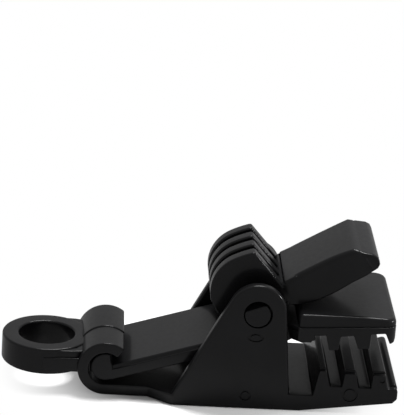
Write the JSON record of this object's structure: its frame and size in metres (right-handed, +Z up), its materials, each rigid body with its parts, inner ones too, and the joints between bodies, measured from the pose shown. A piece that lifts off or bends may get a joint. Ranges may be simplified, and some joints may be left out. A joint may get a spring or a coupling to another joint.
{
  "type": "tarp clip",
  "caption": "Black plastic tarpaulin clip with a rope eye, toothed jaws and a ribbed cam lever that presses a hinged arm shut.",
  "frame": {"origin": "centre of the clip's length and width, on the plane of its flat base", "axes": "+X from the rope eye towards the jaws, +Y to the left across the clip, +Z up from the base"},
  "size_m": [0.1108, 0.0368, 0.0465],
  "materials": {
    "body_plastic": "fine satin texture, injection moulded",
    "arm_plastic": "fine satin texture, injection moulded",
    "lever_plastic": "fine satin texture, injection moulded"
  },
  "bodies": {
    "clip_body": {"rope_eye": "body_plastic", "hinge_hook": "body_plastic", "base_plate": "body_plastic", "left_cheek": "body_plastic", "right_cheek": "body_plastic", "lower_jaw": "body_plastic"},
    "jaw_arm": {"hinge_bead": "arm_plastic", "arm_plate": "arm_plastic", "upper_jaw": "arm_plastic"},
    "cam_lever": {"cam": "lever_plastic", "thumb_lever": "lever_plastic", "left_trunnion": "lever_plastic", "right_trunnion": "lever_plastic"}
  },
  "joints": [
    {"name": "lever_turn", "type": "hinge", "parent": "clip_body", "child": "cam_lever", "pos_m": [0.0149, 0, 0.0283], "axis": [0, -1, 0], "range_deg": [0, 135]},
    {"name": "arm_turn", "type": "hinge", "parent": "clip_body", "child": "jaw_arm", "pos_m": [-0.0261, 0, 0.00835], "axis": [0, 1, 0], "range_deg": [0, 8.4]}
  ],
  "couplings": [
    {"joint": "arm_turn", "follows": "lever_turn", "ratio": 0.062}
  ]
}
